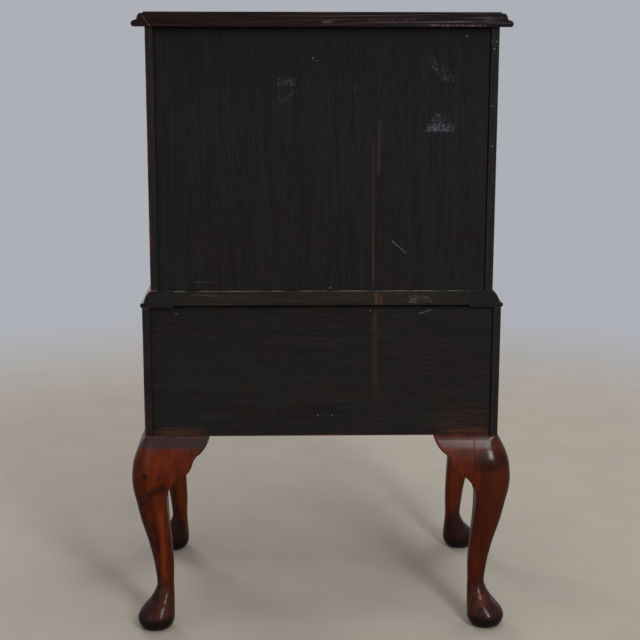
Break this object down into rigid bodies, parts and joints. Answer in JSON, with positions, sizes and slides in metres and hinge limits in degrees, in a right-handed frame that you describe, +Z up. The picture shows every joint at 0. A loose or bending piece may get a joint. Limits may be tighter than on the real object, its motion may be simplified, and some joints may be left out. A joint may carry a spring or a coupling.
{
  "type": "highboy",
  "caption": "Small highboy: a chest of long drawers on a low stand with cabriole legs and pad feet, a moulded cornice and waist, and brass bail pulls.",
  "frame": {"origin": "on the floor, under the middle of the object", "axes": "+X to the right seen from the front, -Y out of the drawer fronts, +Z up"},
  "size_m": [0.579, 0.404, 0.94],
  "materials": {
    "case_wood": "satin",
    "stained_panel": "matte",
    "stained_rail": "matte",
    "leg_wood": "gloss",
    "front_wood": "satin",
    "drawer_lining": "matte",
    "inner_wood": "matte",
    "aged_brass": "satin"
  },
  "bodies": {
    "case": {"chest_back_panel": "stained_panel", "chest_bottom_board": "case_wood", "chest_rail_lower": "case_wood", "chest_rail_upper": "case_wood", "chest_runners": "inner_wood", "chest_side_left": "case_wood", "chest_side_right": "case_wood", "chest_top_rail": "case_wood", "cornice_front": "case_wood", "cornice_left": "case_wood", "cornice_right": "case_wood", "drawer_stops": "inner_wood", "knee_brackets_front_left": "leg_wood", "knee_brackets_front_right": "leg_wood", "knee_brackets_rear_left": "leg_wood", "knee_brackets_rear_right": "leg_wood", "leg_front_left": "leg_wood", "leg_front_right": "leg_wood", "leg_rear_left": "leg_wood", "leg_rear_right": "leg_wood", "stand_back_panel": "stained_panel", "stand_bottom_rail": "case_wood", "stand_corner_blocks": "inner_wood", "stand_runners": "inner_wood", "stand_side_left": "case_wood", "stand_side_right": "case_wood", "stand_top_rail": "case_wood", "top_board": "case_wood", "waist_back_rail": "stained_rail", "waist_moulding_front": "case_wood", "waist_moulding_left": "case_wood", "waist_moulding_right": "case_wood"},
    "lower_drawer": {"lower_drawer_front": "front_wood", "lower_drawer_sides": "drawer_lining", "lower_drawer_back": "drawer_lining", "lower_drawer_bottom": "drawer_lining", "lower_drawer_pull_fittings": "aged_brass"},
    "lower_bail_left": {"lower_drawer_bail_left": "aged_brass"},
    "lower_bail_right": {"lower_drawer_bail_right": "aged_brass"},
    "middle_drawer": {"middle_drawer_front": "front_wood", "middle_drawer_sides": "drawer_lining", "middle_drawer_back": "drawer_lining", "middle_drawer_bottom": "drawer_lining", "middle_drawer_pull_fittings": "aged_brass"},
    "middle_bail_left": {"middle_drawer_bail_left": "aged_brass"},
    "middle_bail_right": {"middle_drawer_bail_right": "aged_brass"},
    "upper_drawer": {"upper_drawer_front": "front_wood", "upper_drawer_sides": "drawer_lining", "upper_drawer_back": "drawer_lining", "upper_drawer_bottom": "drawer_lining", "upper_drawer_pull_fittings": "aged_brass"},
    "upper_bail_left": {"upper_drawer_bail_left": "aged_brass"},
    "upper_bail_right": {"upper_drawer_bail_right": "aged_brass"},
    "stand_drawer": {"stand_drawer_front": "front_wood", "stand_drawer_sides": "drawer_lining", "stand_drawer_back": "drawer_lining", "stand_drawer_bottom": "drawer_lining", "stand_drawer_pull_fittings": "aged_brass"},
    "stand_bail_left": {"stand_drawer_bail_left": "aged_brass"},
    "stand_bail_right": {"stand_drawer_bail_right": "aged_brass"}
  },
  "joints": [
    {"name": "lower_drawer_slide", "type": "slide", "parent": "case", "child": "lower_drawer", "axis": [0, -1, 0], "range_m": [0, 0.24]},
    {"name": "lower_bail_left_hinge", "type": "hinge", "parent": "lower_drawer", "child": "lower_bail_left", "pos_m": [-0.125, -0.1775, 0.61], "axis": [-1, 0, 0], "range_deg": [-15, 90]},
    {"name": "lower_bail_right_hinge", "type": "hinge", "parent": "lower_drawer", "child": "lower_bail_right", "pos_m": [0.125, -0.1775, 0.61], "axis": [-1, 0, 0], "range_deg": [-15, 90]},
    {"name": "middle_drawer_slide", "type": "slide", "parent": "case", "child": "middle_drawer", "axis": [0, -1, 0], "range_m": [0, 0.24]},
    {"name": "middle_bail_left_hinge", "type": "hinge", "parent": "middle_drawer", "child": "middle_bail_left", "pos_m": [-0.125, -0.1775, 0.739], "axis": [-1, 0, 0], "range_deg": [-15, 90]},
    {"name": "middle_bail_right_hinge", "type": "hinge", "parent": "middle_drawer", "child": "middle_bail_right", "pos_m": [0.125, -0.1775, 0.739], "axis": [-1, 0, 0], "range_deg": [-15, 90]},
    {"name": "upper_drawer_slide", "type": "slide", "parent": "case", "child": "upper_drawer", "axis": [0, -1, 0], "range_m": [0, 0.24]},
    {"name": "upper_bail_left_hinge", "type": "hinge", "parent": "upper_drawer", "child": "upper_bail_left", "pos_m": [-0.125, -0.1775, 0.856], "axis": [-1, 0, 0], "range_deg": [-15, 90]},
    {"name": "upper_bail_right_hinge", "type": "hinge", "parent": "upper_drawer", "child": "upper_bail_right", "pos_m": [0.125, -0.1775, 0.856], "axis": [-1, 0, 0], "range_deg": [-15, 90]},
    {"name": "stand_drawer_slide", "type": "slide", "parent": "case", "child": "stand_drawer", "axis": [0, -1, 0], "range_m": [0, 0.24]},
    {"name": "stand_bail_left_hinge", "type": "hinge", "parent": "stand_drawer", "child": "stand_bail_left", "pos_m": [-0.125, -0.191, 0.4135], "axis": [-1, 0, 0], "range_deg": [-15, 90]},
    {"name": "stand_bail_right_hinge", "type": "hinge", "parent": "stand_drawer", "child": "stand_bail_right", "pos_m": [0.125, -0.191, 0.4135], "axis": [-1, 0, 0], "range_deg": [-15, 90]}
  ]
}
